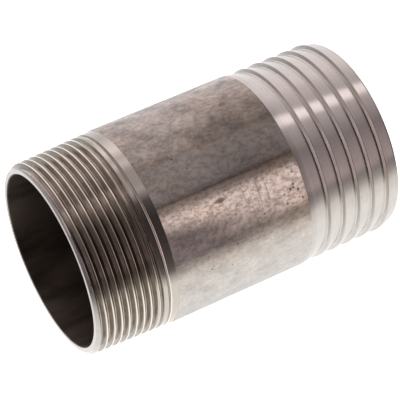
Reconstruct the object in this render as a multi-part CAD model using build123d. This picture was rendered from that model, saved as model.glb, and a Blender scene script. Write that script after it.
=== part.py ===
from build123d import *
import math
import os

# Hose tail, turned in one piece from a length of stainless steel pipe.
# It stands on its hose end: z = 0 is the hose-end face, and the male taper
# thread points up. The origin is on the pipe's axis. Lengths are in mm.

# Pipe
pipe_diameter = 60.3
wall_thickness = 3.6

# Lengths along the axis, from the mouth down to the hose ribs: thread at its
# full depth, the stretch where its groove rises out of the pipe, the turned
# land below it, plain pipe, and the turned land above the first rib
full_thread_length = 17.5
thread_runout = 6.5
thread_land_length = 1.4
plain_length = 44.0
ribs_land_length = 1.5

# Male taper thread R 2: pitch, flank angle, how far the crest diameter at the
# gauge plane is under the pipe's, that plane's distance from the mouth, and the
# taper on the diameter
thread_pitch = 25.4 / 11
thread_angle = 55
gauge_undersize = 0.686
gauge_length = 17.5
thread_taper = 1 / 16
thread_chamfer = 1.2
thread_start_angle = 296

# Hose ribs. Each one has a long ramp that rises from the hose end to a sharp
# crest, and a steep shoulder towards the thread, which holds the hose on. The
# crests are turned down a little from the pipe.
rib_count = 5
rib_pitch = 5.0
ribbed_undersize = 0.2
rib_depth = 1.2
shoulder_length = 0.5

# Nose: what is left of the last rib at the hose end
nose_length = 4.6
nose_chamfer = 0.5

# Broken inner corners of both ends
bore_chamfer = 0.25

# Worked out from the sizes above
pipe_radius = pipe_diameter / 2
bore_radius = pipe_radius - wall_thickness
crest_radius = (pipe_diameter - ribbed_undersize) / 2
root_radius = crest_radius - rib_depth
ramp_length = rib_pitch - shoulder_length
ramp_slope = rib_depth / ramp_length
nose_ramp_length = nose_length - shoulder_length
nose_radius = crest_radius - (nose_ramp_length - nose_chamfer) * ramp_slope

root_heights = [nose_length + rib * rib_pitch for rib in range(rib_count)]
ribs_end = root_heights[-1] + ramp_length + ribs_land_length
thread_end = ribs_end + plain_length
full_thread_end = thread_end + thread_land_length + thread_runout
overall_length = full_thread_end + full_thread_length

# Thread form: a triangle with a sixth cut off its crests and roots
half_angle = math.radians(thread_angle / 2)
triangle_height = thread_pitch / 2 / math.tan(half_angle)
thread_depth = triangle_height * 2 / 3
thread_root_width = thread_pitch / 6
thread_crest_width = thread_pitch / 6
cutter_margin = triangle_height / 12


def thread_radius(height):
    """Radius of the taper thread's crests at a height."""
    below_gauge = overall_length - height - gauge_length
    return (pipe_diameter - gauge_undersize + below_gauge * thread_taper) / 2


def nose_points():
    """Outside of the hose end, below the first rib's crest."""
    return [
        (nose_radius - nose_chamfer, 0),
        (nose_radius, nose_chamfer),
    ]


def rib_points(root_height):
    """Crest of one rib, and the root at the foot of its shoulder."""
    return [
        (crest_radius, root_height - shoulder_length),
        (root_radius, root_height),
    ]


def pipe_points():
    """Last ramp, turned land and plain pipe, up to the thread's step."""
    return [
        (crest_radius, ribs_end - ribs_land_length),
        (crest_radius, ribs_end),
        (pipe_radius, ribs_end),
        (pipe_radius, thread_end),
        (thread_radius(thread_end), thread_end),
    ]


def thread_points():
    """Taper over the thread's crests, and the chamfer at the mouth."""
    chamfer_height = overall_length - thread_chamfer
    chamfer_radius = thread_radius(chamfer_height)
    return [
        (chamfer_radius, chamfer_height),
        (chamfer_radius - thread_chamfer, overall_length),
    ]


def bore_points():
    """Bore, from the mouth back down to the hose end."""
    return [
        (bore_radius + bore_chamfer, overall_length),
        (bore_radius, overall_length - bore_chamfer),
        (bore_radius, bore_chamfer),
        (bore_radius + bore_chamfer, 0),
    ]


def turned_blank():
    """Half section of the pipe with its ribs and taper, turned about the axis."""
    outline = nose_points()
    for height in root_heights:
        outline += rib_points(height)
    outline += pipe_points() + thread_points() + bore_points()
    with BuildPart() as blank:
        with BuildSketch(Plane.XZ):
            with BuildLine():
                Polyline(*outline, close=True)
            make_face()
        revolve(axis=Axis.Z)
    return blank.part


def groove_radius(height):
    """Crest radius that the groove is cut from. It grows along the run-out."""
    risen = max(0, full_thread_end - height) / thread_runout
    return thread_radius(height) + thread_depth * risen


def groove_turn(bottom, top):
    """Cutter of the thread's groove between two heights, a turn apart at most."""
    cone = math.atan((groove_radius(top) - groove_radius(bottom)) / (top - bottom))
    path = Helix(
        pitch=thread_pitch,
        height=top - bottom,
        radius=groove_radius(bottom),
        center=(0, 0, bottom),
        cone_angle=math.degrees(cone),
    )
    start = Plane(
        origin=(groove_radius(bottom), 0, bottom), x_dir=(1, 0, 0), z_dir=(0, -1, 0)
    )
    root_half = thread_root_width / 2
    outer_half = root_half + (thread_depth + cutter_margin) * math.tan(half_angle)
    with BuildSketch(start) as form:
        with BuildLine():
            Polyline(
                (-thread_depth, -root_half),
                (cutter_margin, -outer_half),
                (cutter_margin, outer_half),
                (-thread_depth, root_half),
                close=True,
            )
        make_face()
    cutter = sweep(form.sketch, path=path, is_frenet=True)
    turned = 360 * (bottom - full_thread_end) / thread_pitch
    return cutter.rotate(Axis.Z, thread_start_angle + turned)


def groove_heights():
    """Heights of the groove's turns, from its run-out up past the mouth."""
    runout_turns = math.ceil(thread_runout / thread_pitch)
    runout_step = thread_runout / runout_turns
    runout = [full_thread_end - turn * runout_step for turn in range(runout_turns, 0, -1)]
    cut_length = full_thread_length + (thread_pitch - thread_crest_width) / 2
    full_turns = math.ceil(cut_length / thread_pitch)
    return runout + [full_thread_end + turn * thread_pitch for turn in range(full_turns + 1)]


def make_hose_tail():
    """The turned blank, with the right-hand thread cut into it turn by turn."""
    tail = turned_blank()
    heights = groove_heights()
    for bottom, top in zip(heights, heights[1:]):
        tail -= groove_turn(bottom, top)
    return tail


hose_tail = make_hose_tail()
hose_tail.label = "hose_tail"
hose_tail.color = Color(0.72, 0.70, 0.69)

os.makedirs("parts", exist_ok=True)
export_step(hose_tail, "parts/hose_tail.step")
print("overall length", round(overall_length, 3), "volume", round(hose_tail.volume, 1))
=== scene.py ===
import math

import bmesh
import bpy
from mathutils import Matrix, Vector


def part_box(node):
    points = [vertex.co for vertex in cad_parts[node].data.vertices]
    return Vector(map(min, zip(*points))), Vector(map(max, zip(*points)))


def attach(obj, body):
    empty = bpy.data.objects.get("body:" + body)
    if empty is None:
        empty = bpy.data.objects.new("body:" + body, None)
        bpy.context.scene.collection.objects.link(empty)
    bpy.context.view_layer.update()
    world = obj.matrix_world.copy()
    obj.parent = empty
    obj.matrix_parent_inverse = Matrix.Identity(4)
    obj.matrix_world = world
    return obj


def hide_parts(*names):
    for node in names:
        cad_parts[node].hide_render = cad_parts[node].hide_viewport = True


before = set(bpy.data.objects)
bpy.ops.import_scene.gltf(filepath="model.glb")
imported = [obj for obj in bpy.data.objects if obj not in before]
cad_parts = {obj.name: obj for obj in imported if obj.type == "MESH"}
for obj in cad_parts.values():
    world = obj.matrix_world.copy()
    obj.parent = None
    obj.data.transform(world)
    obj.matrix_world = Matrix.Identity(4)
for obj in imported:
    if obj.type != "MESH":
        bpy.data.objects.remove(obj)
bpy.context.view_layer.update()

# Hose tail in metres, standing on its hose end. Its axis is Z.
# Angles round the axis are written as "turn": 0 is the side that faces the
# camera (-Y), and it grows towards -X.

lowCorner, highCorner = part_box("hose_tail")
overallLength = highCorner[2] - lowCorner[2]
pipeRadius = min(abs(side) for corner in (lowCorner, highCorner) for side in corner[:2])
aroundSteps = 256
joinDistance = 0.000004

pipe = {
    "wall": 0.0036,
    "boreEdge": 0.00025,
    "ringSpacing": 0.001,
    "boreRings": 12,
    "wander": 0.00004,
}
ribs = {
    "count": 5,
    "pitch": 0.005,
    "noseLength": 0.0046,
    "noseChamfer": 0.0005,
    "crestRadius": pipeRadius - 0.0001,
    "depth": 0.0012,
    "crestWidth": 0.0002,
    "shoulder": 0.00035,
    "crestHeight": 0.0041,
    "edgeRound": 0.00005,
    "rootRound": 0.00022,
}
thread = {
    "length": 0.0254,
    "fullLength": 0.0175,
    "runout": 0.0065,
    "pitch": 0.0254 / 11,
    "flankAngle": 55,
    "gaugeRadius": pipeRadius - 0.000343,
    "gaugeLength": 0.0175,
    "taper": 1 / 16,
    "chamfer": 0.0012,
    "grooveAngle": 296,
    "roundRadius": 0.137,
    "arcPoints": 2,
    "flankPoints": 3,
}
threadEnd = overallLength - thread["length"]
ribsTop = 0.0306


def startPiece(name, radius, height):
    # one ring of points to pull the turned outline from
    bpy.ops.object.select_all(action="DESELECT")
    bpy.ops.mesh.primitive_circle_add(vertices=aroundSteps, radius=radius, location=(0, 0, height))
    piece = bpy.context.object
    piece.name = name
    bpy.ops.object.transform_apply(location=True, rotation=True, scale=True)
    bpy.ops.object.mode_set(mode="EDIT")
    bpy.ops.mesh.select_all(action="SELECT")
    return piece


def pullRing(fromPoint, toPoint):
    # extrude the selected ring to the next point of the outline
    bpy.ops.mesh.extrude_edges_move(
        TRANSFORM_OT_translate={"value": (0, 0, toPoint[1] - fromPoint[1])}
    )
    grow = toPoint[0] / fromPoint[0]
    bpy.ops.transform.resize(value=(grow, grow, 1), center_override=(0, 0, toPoint[1]))


def crestRadius(height):
    # taper of the thread's crests
    below = overallLength - height - thread["gaugeLength"]
    return thread["gaugeRadius"] + below * thread["taper"] / 2


def ribOutline():
    depth = ribs["depth"]
    crest = ribs["crestRadius"]
    root = crest - depth
    ramp = ribs["pitch"] - ribs["crestWidth"] - ribs["shoulder"]
    noseRamp = ribs["crestHeight"] - ribs["crestWidth"] - ribs["noseChamfer"]
    noseRadius = crest - noseRamp * depth / ramp
    points = [(noseRadius - ribs["noseChamfer"], 0), (noseRadius, ribs["noseChamfer"])]
    for rib in range(ribs["count"]):
        crestHeight = ribs["crestHeight"] + rib * ribs["pitch"]
        points += [
            (crest, crestHeight - ribs["crestWidth"]),
            (crest, crestHeight),
            (root, crestHeight + ribs["shoulder"]),
        ]
    points += [(crest, crestHeight + ribs["shoulder"] + ramp), (crest, ribsTop)]
    return points


def pipeOutline():
    rows = round((threadEnd - ribsTop) / pipe["ringSpacing"])
    step = (threadEnd - ribsTop) / rows
    return [(pipeRadius, ribsTop + row * step) for row in range(rows + 1)]


def boreOutline():
    bore = pipeRadius - pipe["wall"]
    edge = pipe["boreEdge"]
    rows = pipe["boreRings"]
    step = (overallLength - 2 * edge) / rows
    points = [(bore + edge, overallLength)]
    points += [(bore, overallLength - edge - row * step) for row in range(rows + 1)]
    points += [(bore + edge, 0)]
    return points


def turnBody():
    # everything but the thread: ribs, pipe, step, then the mouth face and the bore
    outline = ribOutline() + pipeOutline()
    outline.append((crestRadius(threadEnd), threadEnd))
    body = startPiece("hoseTail", *outline[0])
    for fromPoint, toPoint in zip(outline, outline[1:]):
        pullRing(fromPoint, toPoint)
    roundRibEdges(body)
    bpy.ops.object.mode_set(mode="OBJECT")
    mouthRadius = crestRadius(overallLength - thread["chamfer"]) - thread["chamfer"]
    bore = [(mouthRadius, overallLength)] + boreOutline() + [outline[0]]
    inside = startPiece("bore", *bore[0])
    for fromPoint, toPoint in zip(bore, bore[1:]):
        pullRing(fromPoint, toPoint)
    bpy.ops.object.mode_set(mode="OBJECT")
    return body, inside


def roundRibEdges(body):
    # round the roots, then break the crests and the nose corner
    crests = [corner for corner in ribOutline()[1:] if corner[0] > ribs["crestRadius"] - ribs["depth"] / 2]
    roots = [corner for corner in ribOutline()[1:] if corner not in crests]
    bpy.ops.mesh.select_mode(type="EDGE")
    for corners, size, segments in ((roots, ribs["rootRound"], 5), (crests, ribs["edgeRound"], 2)):
        bpy.ops.mesh.select_all(action="DESELECT")
        mesh = bmesh.from_edit_mesh(body.data)
        for edge in mesh.edges:
            low, high = (vert.co for vert in edge.verts)
            radius = math.hypot(low.x, low.y)
            edge.select = abs(low.z - high.z) < joinDistance and low.z < ribsTop - joinDistance and any(
                abs(low.z - height) < joinDistance and abs(radius - corner) < joinDistance
                for corner, height in corners
            )
        bmesh.update_edit_mesh(body.data)
        bpy.ops.mesh.bevel(offset=size, segments=segments, affect="EDGES")
    bpy.ops.mesh.select_mode(type="VERT")


def threadOutline():
    # one pitch of the rounded thread form, as (depth below the crest, height)
    pitch = thread["pitch"]
    flank = math.radians(90 - thread["flankAngle"] / 2)
    rounding = thread["roundRadius"] * pitch
    triangle = pitch / 2 / math.tan(math.radians(thread["flankAngle"] / 2))
    depth = triangle * 2 / 3
    half = []
    for step in range(thread["arcPoints"] + 1):
        turn = flank * step / thread["arcPoints"]
        half.append((rounding * (1 - math.cos(turn)), rounding * math.sin(turn)))
    startDepth, startHeight = half[-1]
    for step in range(1, thread["flankPoints"]):
        share = step / thread["flankPoints"]
        half.append((
            startDepth + share * (depth - 2 * startDepth),
            startHeight + share * (pitch / 2 - 2 * startHeight),
        ))
    rootArc = [(depth - d, pitch / 2 - h) for d, h in reversed(half[: thread["arcPoints"] + 1])]
    half += rootArc
    whole = half + [(d, pitch - h) for d, h in reversed(half[:-1])]
    return depth, whole


def screwThread():
    # a chain of points pulled out along the form, then screwed up past the mouth
    depth, form = threadOutline()
    pitch = thread["pitch"]
    turns = math.ceil(thread["length"] / pitch) + 2
    groove = overallLength - thread["fullLength"] - pitch * thread["grooveAngle"] / 360
    startCrest = groove + pitch / 2
    while startCrest > threadEnd - pitch:
        startCrest -= pitch
    flatRadius = crestRadius(threadEnd)
    bpy.ops.object.select_all(action="DESELECT")
    bpy.ops.mesh.primitive_plane_add(size=pitch)
    piece = bpy.context.object
    piece.name = "thread"
    bpy.ops.object.mode_set(mode="EDIT")
    bpy.ops.mesh.select_all(action="SELECT")
    bpy.ops.mesh.merge(type="CENTER")
    bpy.ops.transform.translate(value=(flatRadius - form[0][0], 0, startCrest + form[0][1]))
    for (fromDepth, fromHeight), (toDepth, toHeight) in zip(form, form[1:]):
        bpy.ops.mesh.extrude_vertices_move(
            TRANSFORM_OT_translate={"value": (fromDepth - toDepth, 0, toHeight - fromHeight)}
        )
    bpy.ops.object.mode_set(mode="OBJECT")
    screw = piece.modifiers.new("Screw", "SCREW")
    screw.angle = math.radians(360)
    screw.steps = screw.render_steps = aroundSteps
    screw.screw_offset = pitch
    screw.iterations = turns
    screw.use_smooth_shade = True
    bpy.ops.object.modifier_apply(modifier=screw.name)
    fitThread(piece, flatRadius, depth)
    return piece


def fitThread(piece, flatRadius, depth):
    # taper, run-out, chamfer, and flat ends that meet the body's rings
    fullEnd = overallLength - thread["fullLength"]
    chamferStart = overallLength - thread["chamfer"]
    for vert in piece.data.vertices:
        point = vert.co
        height = min(max(point.z, threadEnd), overallLength)
        radius = math.hypot(point.x, point.y)
        rise = max(0, fullEnd - height) / thread["runout"] * depth
        crest = crestRadius(height)
        radius = min(crest, crest + radius - flatRadius + rise)
        chamfer = crestRadius(chamferStart) - (height - chamferStart)
        radius = min(radius, chamfer)
        if height in (threadEnd, overallLength):
            radius = min(crest, chamfer)
        turn = math.atan2(point.y, point.x)
        vert.co = (radius * math.cos(turn), radius * math.sin(turn), height)


def joinPieces(body, others):
    bpy.ops.object.select_all(action="DESELECT")
    for piece in others + [body]:
        piece.select_set(True)
    bpy.context.view_layer.objects.active = body
    bpy.ops.object.join()
    bpy.ops.object.mode_set(mode="EDIT")
    bpy.ops.mesh.select_all(action="SELECT")
    bpy.ops.mesh.remove_doubles(threshold=joinDistance)
    bpy.ops.mesh.select_all(action="SELECT")
    bpy.ops.mesh.dissolve_degenerate(threshold=joinDistance / 4)
    bpy.ops.mesh.select_all(action="SELECT")
    bpy.ops.mesh.normals_make_consistent(inside=False)
    bpy.ops.object.mode_set(mode="OBJECT")
    bpy.ops.object.shade_smooth_by_angle(angle=math.radians(28))


body, inside = turnBody()
print("turned body and bore pulled out")
threadPiece = screwThread()
print("thread screwed and fitted")
joinPieces(body, [inside, threadPiece])
print("joined:", len(body.data.vertices), "points", len(body.data.polygons), "faces")


def link(tree, source, target):
    tree.links.new(source, target)


def newNode(tree, kind, inputs=None, **settings):
    node = tree.nodes.new(kind)
    for key, value in settings.items():
        setattr(node, key, value)
    for key, value in (inputs or {}).items():
        if isinstance(value, bpy.types.NodeSocket):
            tree.links.new(value, node.inputs[key])
        else:
            node.inputs[key].default_value = value
    return node


def mathNode(tree, operation, first, second=0.0, third=0.0):
    node = newNode(tree, "ShaderNodeMath", {0: first, 1: second, 2: third}, operation=operation)
    return node.outputs[0]


def rampNode(tree, factor, stops, smooth=True):
    # stops are (place from 0 to 1, grey or colour)
    node = tree.nodes.new("ShaderNodeValToRGB")
    node.color_ramp.interpolation = "B_SPLINE" if smooth == "spline" else ("EASE" if smooth else "LINEAR")
    elements = node.color_ramp.elements
    while len(elements) < len(stops):
        elements.new(0.5)
    for element, (place, colour) in zip(elements, stops):
        element.position = place
        if isinstance(colour, (int, float)):
            colour = (colour, colour, colour)
        element.color = (*colour, 1)
    if isinstance(factor, bpy.types.NodeSocket):
        tree.links.new(factor, node.inputs[0])
    return node.outputs[0]


def mixColour(tree, factor, first, second, blend="MIX"):
    node = newNode(tree, "ShaderNodeMix", data_type="RGBA", blend_type=blend)
    for socket, value in ((0, factor), (6, first), (7, second)):
        if isinstance(value, bpy.types.NodeSocket):
            tree.links.new(value, node.inputs[socket])
        else:
            node.inputs[socket].default_value = (*value, 1) if isinstance(value, tuple) else value
    return node.outputs[2]


def stretchedNoise(tree, coordinates, scale, detail, stretch=(1, 1, 1), roughness=0.55, place=(0, 0, 0)):
    mapping = newNode(tree, "ShaderNodeMapping", {"Vector": coordinates, "Scale": stretch, "Location": place})
    node = newNode(
        tree, "ShaderNodeTexNoise",
        {"Vector": mapping.outputs[0], "Scale": scale, "Detail": detail, "Roughness": roughness},
    )
    return node.outputs["Fac"]


def startMaterial(name, metallic, roughness):
    material = bpy.data.materials.new(name)
    material.use_nodes = True
    tree = material.node_tree
    shader = tree.nodes["Principled BSDF"]
    shader.inputs["Metallic"].default_value = metallic
    shader.inputs["Roughness"].default_value = roughness
    coordinates = newNode(tree, "ShaderNodeTexCoord").outputs["Object"]
    return material, tree, shader, coordinates


def placeNodes(tree, coordinates):
    # turn round the axis in degrees, and height in millimetres
    split = newNode(tree, "ShaderNodeSeparateXYZ", {0: coordinates})
    back = mathNode(tree, "MULTIPLY", split.outputs[1], -1.0)
    side = mathNode(tree, "MULTIPLY", split.outputs[0], -1.0)
    turn = mathNode(tree, "DEGREES", mathNode(tree, "ARCTAN2", side, back))
    height = mathNode(tree, "MULTIPLY", split.outputs[2], 1000.0)
    return turn, height


def fadeBetween(tree, value, start, end):
    # 0 at start, 1 at end, smooth between them
    node = newNode(
        tree, "ShaderNodeMapRange",
        {"Value": value, "From Min": start, "From Max": end}, interpolation_type="SMOOTHSTEP",
    )
    return node.outputs[0]


def bumpNode(tree, height, strength, distance, normal=None):
    inputs = {"Height": height, "Strength": strength, "Distance": distance}
    if normal is not None:
        inputs["Normal"] = normal
    return newNode(tree, "ShaderNodeBump", inputs).outputs[0]


turnedSteel = {
    "colour": (0.74, 0.70, 0.67),
    "tint": (0.66, 0.615, 0.585),
    "roughness": 0.2,
    "anisotropic": 0.7,
    "acrossLines": 0.25,
}


def turnedMaterial():
    # bright turned steel with fine lines round the axis
    material, tree, shader, coordinates = startMaterial("turnedSteel", 1.0, turnedSteel["roughness"])
    lines = stretchedNoise(tree, coordinates, 9000, 3, (0.004, 0.004, 1))
    broad = stretchedNoise(tree, coordinates, 260, 4, (1, 1, 0.6))
    mixed = mathNode(tree, "MULTIPLY_ADD", broad, 0.4, mathNode(tree, "MULTIPLY", lines, 0.6))
    colour = rampNode(tree, mixed, [(0.35, turnedSteel["tint"]), (0.62, turnedSteel["colour"])])
    link(tree, colour, shader.inputs["Base Color"])
    shader.inputs["Anisotropic"].default_value = turnedSteel["anisotropic"]
    shader.inputs["Anisotropic Rotation"].default_value = turnedSteel["acrossLines"]
    tangent = newNode(tree, "ShaderNodeTangent", direction_type="RADIAL", axis="Z")
    link(tree, tangent.outputs[0], shader.inputs["Tangent"])
    link(tree, bumpNode(tree, lines, 0.15, 0.00002), shader.inputs["Normal"])
    return material


# the flank and stain colours lie down the thread's flanks and in its roots: painted shade in the grooves,
# blotched at random between the two
threadSteel = {
    "crest": (0.84, 0.77, 0.70),
    "flank": (0.45, 0.405, 0.36),
    "shadedFlankStain": (0.38, 0.335, 0.29),
    "roughness": 0.12,
    "crestDepth": 0.22,
}


def threadMaterial():
    # cut thread: bright crests; the flanks and roots are darker and browner by depth below the crest, painted
    # shade in the grooves, over random blotches
    material, tree, shader, coordinates = startMaterial("threadSteel", 1.0, threadSteel["roughness"])
    turn, height = placeNodes(tree, coordinates)
    flat = newNode(tree, "ShaderNodeVectorMath", {0: coordinates, 1: (1000, 1000, 0)}, operation="MULTIPLY")
    radius = newNode(tree, "ShaderNodeVectorMath", {0: flat.outputs[0]}, operation="LENGTH").outputs["Value"]
    mouthCrest = crestRadius(overallLength) * 1000
    slope = thread["taper"] / 2
    crest = mathNode(tree, "MULTIPLY_ADD", height, -slope, mouthCrest + slope * overallLength * 1000)
    depth = mathNode(tree, "SUBTRACT", crest, radius)
    broad = stretchedNoise(tree, coordinates, 300, 4)
    flank = rampNode(tree, broad, [(0.38, threadSteel["shadedFlankStain"]), (0.6, threadSteel["flank"])])
    # darker colour deeper below the crest: painted shade in the grooves
    groove = fadeBetween(tree, depth, 0.0, threadSteel["crestDepth"])
    colour = mixColour(tree, groove, threadSteel["crest"], flank)
    link(tree, colour, shader.inputs["Base Color"])
    grain = stretchedNoise(tree, coordinates, 2500, 3, (0.2, 0.2, 1))
    link(tree, bumpNode(tree, grain, 0.12, 0.00002), shader.inputs["Normal"])
    return material


pipeSkin = {
    "metal": 0.45,
    "roughness": 0.3,
    "smoothPatchRoughness": 0.16,
    # tones round the axis: the welded seam strip and stains, and painted reflection: the lighter sides towards
    # ±90 degrees, the darker band from about -30 to -3 degrees and the sharp dark axial lines near -25, -3 and
    # 28.5 degrees
    "zones": [
        (-180, (0.50, 0.46, 0.43)), (-90, (0.92, 0.88, 0.85)), (-68, (0.57, 0.50, 0.47)),
        (-45, (0.43, 0.375, 0.35)), (-30, (0.31, 0.265, 0.24)), (-25.4, (0.26, 0.212, 0.185)),
        (-25, (0.28, 0.255, 0.235)), (-5, (0.25, 0.22, 0.215)), (-3.2, (0.13, 0.10, 0.085)),
        (-2.4, (0.13, 0.10, 0.085)), (-1.5, (0.26, 0.205, 0.175)), (1.5, (0.38, 0.32, 0.285)),
        (6, (0.97, 0.83, 0.77)), (23, (0.92, 0.765, 0.69)), (27, (0.50, 0.42, 0.36)),
        (28.5, (0.32, 0.265, 0.23)), (30, (0.40, 0.345, 0.30)), (33, (0.40, 0.345, 0.31)),
        (38, (0.66, 0.61, 0.56)), (50, (0.73, 0.69, 0.65)), (90, (0.72, 0.70, 0.68)),
        (180, (0.50, 0.46, 0.43)),
    ],
    "darkerEnd": (0.73, 0.71, 0.70),
    # dark purple-grey of the smoother patch beside the seam: painted reflection
    "darkReflectionPaint": (0.25, 0.21, 0.21),
    "grainDark": (0.60, 0.51, 0.46),
    "brown": (0.94, 0.90, 0.86),
}

# marks on the skin: turn in degrees, height in mm, half sizes round and along in mm
marks = {
    "pits": [
        (13.6, 33.9, 0.42), (15.7, 35.1, 0.48), (15.4, 34.1, 0.40), (17.3, 32.8, 0.48),
        (17.3, 37.4, 0.34), (7.2, 33.0, 0.34), (22.7, 37.1, 0.36), (22.7, 32.1, 0.36),
        (22.7, 44.7, 0.28), (41.7, 63.7, 0.30), (40.0, 63.2, 0.22), (44.8, 57.3, 0.22),
        (-16.5, 61.1, 0.26), (-24.6, 63.7, 0.32), (32.9, 64.1, 0.24), (32.9, 54.8, 0.24),
    ],
    "pitColour": (0.26, 0.20, 0.17),
    "dent": (6.2, 56.3, 0.75, 1.9),
    "dentColour": (0.36, 0.31, 0.29),
    "scratches": [(11.5, 44.6, 3.6, 0.28), (12.0, 42.0, 4.6, 0.24), (9.0, 49.0, 2.4, 0.22)],
    "scratchColour": (0.72, 0.68, 0.66),
}


def markNodes(tree, turn, height, centre, halfRound, halfAlong):
    # 1 inside one mark, 0 outside it
    perMillimetre = math.degrees(1 / (pipeRadius * 1000))
    place = newNode(tree, "ShaderNodeCombineXYZ", {0: turn, 1: height}).outputs[0]
    scale = (1 / (halfRound * perMillimetre), 1 / halfAlong, 0)
    offset = (-centre[0] * scale[0], -centre[1] * scale[1], 0)
    local = newNode(tree, "ShaderNodeVectorMath", {0: place, 1: scale, 2: offset}, operation="MULTIPLY_ADD")
    away = newNode(tree, "ShaderNodeVectorMath", {0: local.outputs[0]}, operation="LENGTH").outputs["Value"]
    return fadeBetween(tree, away, 1.3, 0.5)


def skinMaterial():
    # pickled pipe skin: blotches, streaks along the axis and a dull welded seam, with painted reflection in its
    # tones round the axis and in the dark patch beside the seam
    material, tree, shader, coordinates = startMaterial("pipeSkin", pipeSkin["metal"], pipeSkin["roughness"])
    turn, height = placeNodes(tree, coordinates)
    blotches = stretchedNoise(tree, coordinates, 210, 4, (1, 1, 0.8), 0.62)
    clouds = stretchedNoise(tree, coordinates, 75, 3, (1, 1, 0.7), 0.5, (3, 0, 0))
    streaks = stretchedNoise(tree, coordinates, 420, 4, (1, 1, 0.10), 0.6)
    grain = stretchedNoise(tree, coordinates, 1000, 5, (1, 1, 0.6), 0.72)
    hoops = stretchedNoise(tree, coordinates, 1500, 4, (0.25, 0.25, 1), 0.6)
    waver = mathNode(tree, "MULTIPLY_ADD", streaks, 1.2, -0.6)
    place = mathNode(tree, "ADD", turn, waver)
    # base colour round the axis: seam and stains, with painted reflection bands and lines
    zones = rampNode(
        tree, mathNode(tree, "MULTIPLY_ADD", place, 1 / 360, 0.5),
        [((t + 180) / 360, colour) for t, colour in pipeSkin["zones"]], smooth=False,
    )
    inSeam = mathNode(
        tree, "MULTIPLY", fadeBetween(tree, place, -2.0, 3.0), fadeBetween(tree, place, 31.0, 24.0)
    )
    blotched = fadeBetween(tree, place, -24.0, -27.0)
    # patch beside the seam, fading out towards the hose end: smoother, and coloured dark purple-grey as a painted
    # reflection
    pastEdge = mathNode(tree, "SUBTRACT", place, mathNode(tree, "MULTIPLY_ADD", height, -0.36, 35.8))
    sheenMask = mathNode(
        tree, "MULTIPLY", fadeBetween(tree, pastEdge, -6.5, 6.0), fadeBetween(tree, height, 28.0, 68.0)
    )
    sheenMask = mathNode(tree, "MULTIPLY", sheenMask, fadeBetween(tree, place, 34.0, 28.0))
    colour = mixColour(tree, sheenMask, zones, pipeSkin["darkReflectionPaint"])
    # darker towards the hose end, across the front of the skin from about -60 to 30 degrees
    dulled = mathNode(tree, "MULTIPLY_ADD", fadeBetween(tree, place, 4.0, 0.0), 0.5, 0.5)
    dulled = mathNode(tree, "MULTIPLY", dulled, fadeBetween(tree, place, 34.0, 26.0))
    darker = mathNode(tree, "MULTIPLY", fadeBetween(tree, height, 68.0, 42.0), dulled)
    darker = mathNode(tree, "MULTIPLY", darker, fadeBetween(tree, place, -60.0, -30.0))
    colour = mixColour(tree, darker, colour, pipeSkin["darkerEnd"], "MULTIPLY")
    cloudy = rampNode(tree, clouds, [(0.38, pipeSkin["brown"]), (0.6, 1.0)])
    colour = mixColour(tree, fadeBetween(tree, place, 50.0, 28.0), colour, cloudy, "MULTIPLY")
    mottled = rampNode(tree, blotches, [(0.34, 0.50), (0.5, 0.90), (0.64, 1.22)])
    mottling = mathNode(tree, "MULTIPLY_ADD", blotched, 0.45, mathNode(tree, "MULTIPLY_ADD", sheenMask, 0.3, 0.3))
    colour = mixColour(tree, mottling, colour, mottled, "MULTIPLY")
    hooped = rampNode(tree, hoops, [(0.3, 0.80), (0.65, 1.1)])
    colour = mixColour(tree, mathNode(tree, "MULTIPLY_ADD", inSeam, 0.45, 0.2), colour, hooped, "MULTIPLY")
    grained = rampNode(tree, grain, [(0.38, pipeSkin["grainDark"]), (0.58, 1.12)])
    seamGrain = mathNode(tree, "MULTIPLY", inSeam, mathNode(tree, "SUBTRACT", 1.0, sheenMask))
    paleSide = fadeBetween(tree, place, 32.0, 42.0)
    graining = mathNode(tree, "MULTIPLY_ADD", seamGrain, 0.32, 0.58)
    graining = mathNode(tree, "SUBTRACT", graining, mathNode(tree, "MULTIPLY", paleSide, 0.35))
    colour = mixColour(tree, graining, colour, grained, "MULTIPLY")
    pits = [
        markNodes(tree, turn, height, (t, h), size, size) for t, h, size in marks["pits"]
    ]
    pitted = pits[0]
    for pit in pits[1:]:
        pitted = mathNode(tree, "MAXIMUM", pitted, pit)
    colour = mixColour(tree, pitted, colour, marks["pitColour"], "MULTIPLY")
    dentTurn, dentHeight, dentRound, dentAlong = marks["dent"]
    dent = markNodes(tree, turn, height, (dentTurn, dentHeight), dentRound, dentAlong)
    colour = mixColour(tree, dent, colour, marks["dentColour"], "MULTIPLY")
    for t, h, halfRound, halfAlong in marks["scratches"]:
        scratch = markNodes(tree, turn, height, (t, h), halfRound, halfAlong)
        colour = mixColour(tree, scratch, colour, marks["scratchColour"], "MULTIPLY")
    link(tree, colour, shader.inputs["Base Color"])
    rough = newNode(
        tree, "ShaderNodeMapRange",
        {"Value": sheenMask, "To Min": pipeSkin["roughness"], "To Max": pipeSkin["smoothPatchRoughness"]},
    ).outputs[0]
    rough = mathNode(tree, "MULTIPLY_ADD", inSeam, 0.12, rough)
    link(tree, mathNode(tree, "MULTIPLY_ADD", grain, 0.1, rough), shader.inputs["Roughness"])
    relief = mathNode(tree, "MULTIPLY_ADD", grain, 0.6, mathNode(tree, "MULTIPLY", streaks, 0.4))
    relief = mathNode(tree, "SUBTRACT", relief, dent)
    link(tree, bumpNode(tree, relief, 0.3, 0.00005), shader.inputs["Normal"])
    return material


# near-black steel inside the pipe: painted shade in the bore
boreSteel = {"dark": (0.10, 0.08, 0.066), "light": (0.24, 0.195, 0.165), "roughness": 0.5}


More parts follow.
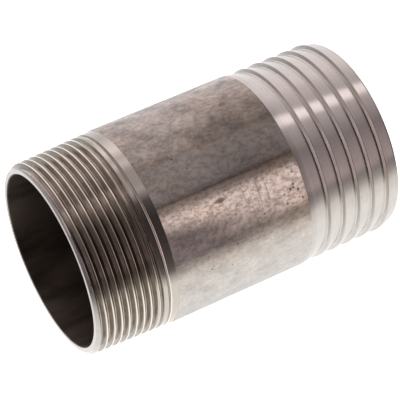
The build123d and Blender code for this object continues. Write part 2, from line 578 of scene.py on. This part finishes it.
def boreMaterial():
    # inside of the pipe: dull steel painted near black, painted shade in the bore, with random blotches
    material, tree, shader, coordinates = startMaterial("boreSkin", 1.0, boreSteel["roughness"])
    broad = stretchedNoise(tree, coordinates, 120, 4, (1, 1, 0.3))
    colour = rampNode(tree, broad, [(0.35, boreSteel["dark"]), (0.65, boreSteel["light"])])
    link(tree, colour, shader.inputs["Base Color"])
    return material


def paintFaces(body):
    body.data.materials.clear()
    for material in (turnedMaterial(), skinMaterial(), threadMaterial(), boreMaterial()):
        body.data.materials.append(material)
    boreLimit = pipeRadius - pipe["wall"] + pipe["boreEdge"] / 2
    for face in body.data.polygons:
        centre = face.center
        radius = math.hypot(centre.x, centre.y)
        if radius < boreLimit:
            face.material_index = 3
        elif ribsTop < centre.z < threadEnd:
            face.material_index = 1
        elif threadEnd < centre.z < overallLength - thread["chamfer"]:
            face.material_index = 2
        else:
            face.material_index = 0


paintFaces(body)
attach(body, "root")
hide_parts("hose_tail")
print("materials laid on")

photoView = {
    "imageSize": 400,
    "focalPixels": 2000,
    "mouthPixel": (49.25, 261.4),
    "mouthDistance": 0.5687,
    "roll": 23.3,
    "lift": 19.84,
    "sensor": 36.0,
}


def placeCamera():
    # the camera looks at the mouth end from 20 degrees above the hose tail's side
    roll = math.radians(photoView["roll"])
    lift = math.radians(photoView["lift"])
    centre = photoView["imageSize"] / 2
    downAxis = Vector((math.cos(lift) * math.cos(roll), math.cos(lift) * math.sin(roll), -math.sin(lift)))
    across = (photoView["mouthPixel"][0] - centre) / photoView["focalPixels"]
    down = (photoView["mouthPixel"][1] - centre) / photoView["focalPixels"]
    mouth = Vector((across, -down, -1)) * photoView["mouthDistance"]
    axisZ = -downAxis
    towards = Vector((0, 0, 1))
    towards -= towards.dot(downAxis) * downAxis
    axisY = -towards.normalized()
    axisX = axisY.cross(axisZ)
    seen = Matrix((axisX, axisY, axisZ)).transposed()
    origin = mouth + downAxis * overallLength
    turnBack = seen.transposed()
    data = bpy.data.cameras.new("camera")
    data.sensor_width = photoView["sensor"]
    data.lens = photoView["sensor"] * photoView["focalPixels"] / photoView["imageSize"]
    data.clip_start = 0.01
    camera = bpy.data.objects.new("camera", data)
    bpy.context.scene.collection.objects.link(camera)
    camera.matrix_world = Matrix.Translation(-(turnBack @ origin)) @ turnBack.to_4x4()
    bpy.context.scene.camera = camera
    return camera


camera = placeCamera()
print("camera at", [round(value, 4) for value in camera.location])

studio = {
    "viewLift": 20.0,
    "level": 1.0,
    "lampStrength": 2.1,
    "lampSpread": 60,
    "lampTilt": 62,
    "lampTurn": 0,
    "under": [
        (-90, 1.05), (-70, 0.8), (-42, 0.62), (-30, 0.42), (-15, 0.34), (-6, 0.2), (10, 0.12),
        (26, 0.14), (31, 0.4), (38, 0.75), (50, 0.95), (90, 1.1),
    ],
    "low": [
        (-90, 1.1), (-62, 0.98), (-42, 0.88), (-31, 0.60), (-25, 0.50), (-23.5, 1.3), (-18.5, 1.2),
        (-17, 0.56), (-8, 0.38), (0, 0.25), (8, 0.34), (20, 0.46), (25, 0.26), (30, 0.45),
        (35, 0.84), (45, 1.05), (90, 1.1),
    ],
    "middle": [
        (-90, 1.0), (-80, 0.76), (-62, 0.52), (-47, 0.84), (-40, 0.50), (-35, 0.62), (-30, 0.33),
        (-20, 0.32), (-17, 0.40), (-14, 0.25), (-10, 0.07), (0, 0.03), (15, 0.04), (29, 0.08),
        (33, 0.13), (38, 0.50), (42, 0.76), (60, 0.79), (90, 1.0),
    ],
    "upper": [
        (-90, 1.3), (-60, 1.2), (-40, 1.05), (-25, 0.65), (-14, 0.35), (-8, 0.08), (0, 0.03),
        (26, 0.03), (32, 0.3), (38, 1.2), (50, 1.4), (90, 1.4),
    ],
    "crest": [
        (-90, 1.1), (-60, 0.95), (-40, 0.6), (-20, 0.6), (0, 1.0), (25, 0.95), (32, 0.8),
        (40, 0.8), (60, 0.9), (90, 1.1),
    ],
    "high": [
        (-90, 1.0), (-80, 0.65), (-60, 0.38), (-40, 0.34), (-20, 0.25), (-12, 0.22), (-6, 0.17),
        (0, 0.13), (8, 0.07), (27, 0.05), (32, 0.2), (38, 0.6), (50, 0.85), (70, 0.95), (90, 1.1),
    ],
    "tint": [
        (-90, (1.0, 1.0, 1.0)), (-70, (1.0, 0.98, 0.99)), (-45, (1.0, 0.92, 0.93)),
        (-20, (1.0, 0.90, 0.91)), (0, (1.0, 0.865, 0.87)), (20, (1.0, 0.83, 0.84)),
        (32, (1.0, 0.94, 0.90)), (42, (1.0, 1.0, 0.97)), (90, (1.0, 1.01, 1.02)),
    ],
}


def lightWorld():
    # a white tent with a grey front opening and one narrow strip of light
    world = bpy.data.worlds.new("studio")
    bpy.context.scene.world = world
    world.use_nodes = True
    tree = world.node_tree
    tree.nodes.clear()
    direction = newNode(tree, "ShaderNodeTexCoord").outputs["Generated"]
    lift = math.radians(studio["viewLift"])
    shifted = newNode(
        tree, "ShaderNodeVectorMath",
        {0: direction, 1: (0, -math.cos(lift), math.sin(lift))}, operation="ADD",
    ).outputs[0]
    unit = newNode(tree, "ShaderNodeVectorMath", {0: shifted}, operation="NORMALIZE").outputs[0]
    split = newNode(tree, "ShaderNodeSeparateXYZ", {0: unit})
    back = mathNode(tree, "MULTIPLY", split.outputs[1], -1.0)
    side = mathNode(tree, "MULTIPLY", split.outputs[0], -1.0)
    turn = mathNode(tree, "DEGREES", mathNode(tree, "ARCTAN2", side, back))
    place = mathNode(tree, "MULTIPLY_ADD", turn, 1 / 180, 0.5)
    bands = {
        band: rampNode(tree, place, [((t + 90) / 180, value) for t, value in studio[band]], smooth=False)
        for band in ("under", "low", "middle", "upper", "crest", "high", "tint")
    }
    rise = split.outputs[2]
    level = mixColour(tree, fadeBetween(tree, rise, -0.50, -0.38), bands["under"], bands["low"])
    level = mixColour(tree, fadeBetween(tree, rise, -0.022, 0.008), level, bands["middle"])
    level = mixColour(tree, fadeBetween(tree, rise, 0.14, 0.22), level, bands["upper"])
    level = mixColour(tree, fadeBetween(tree, rise, 0.48, 0.52), level, bands["crest"])
    level = mixColour(tree, fadeBetween(tree, rise, 0.64, 0.70), level, bands["high"])
    level = mixColour(tree, 1.0, level, bands["tint"], "MULTIPLY")
    background = newNode(tree, "ShaderNodeBackground", {"Color": level, "Strength": studio["level"]})
    plain = newNode(tree, "ShaderNodeBackground", {"Color": (1, 1, 1, 1), "Strength": 1.0})
    path = newNode(tree, "ShaderNodeLightPath")
    mix = newNode(
        tree, "ShaderNodeMixShader",
        {0: path.outputs["Is Camera Ray"], 1: background.outputs[0], 2: plain.outputs[0]},
    )
    output = newNode(tree, "ShaderNodeOutputWorld")
    link(tree, mix.outputs[0], output.inputs["Surface"])


def hangLamp():
    # soft front light for dull surfaces; it leaves no mirror image in the metal
    data = bpy.data.lights.new("frontLamp", "SUN")
    data.energy = studio["lampStrength"]
    data.angle = math.radians(studio["lampSpread"])
    lamp = bpy.data.objects.new("frontLamp", data)
    lamp.visible_glossy = False
    lamp.rotation_euler = (math.radians(studio["lampTilt"]), 0, math.radians(studio["lampTurn"]))
    bpy.context.scene.collection.objects.link(lamp)


def layFloor():
    bpy.ops.object.select_all(action="DESELECT")
    bpy.ops.mesh.primitive_plane_add(size=6, location=(0, 0, 0))
    floor = bpy.context.object
    floor.name = "floor"
    material = bpy.data.materials.new("paleFloor")
    material.use_nodes = True
    tree = material.node_tree
    shader = tree.nodes["Principled BSDF"]
    shader.inputs["Base Color"].default_value = (0.9, 0.9, 0.9, 1)
    shader.inputs["Roughness"].default_value = 1.0
    shader.inputs["Specular IOR Level"].default_value = 0.0
    path = newNode(tree, "ShaderNodeLightPath")
    shader.inputs["Emission Color"].default_value = (1, 1, 1, 1)
    link(tree, mathNode(tree, "MULTIPLY", path.outputs["Is Camera Ray"], 0.8), shader.inputs["Emission Strength"])
    floor.data.materials.append(material)
    floor.visible_glossy = False


lightWorld()
hangLamp()
layFloor()
scene = bpy.context.scene
scene.view_settings.view_transform = "Standard"
print("studio set")
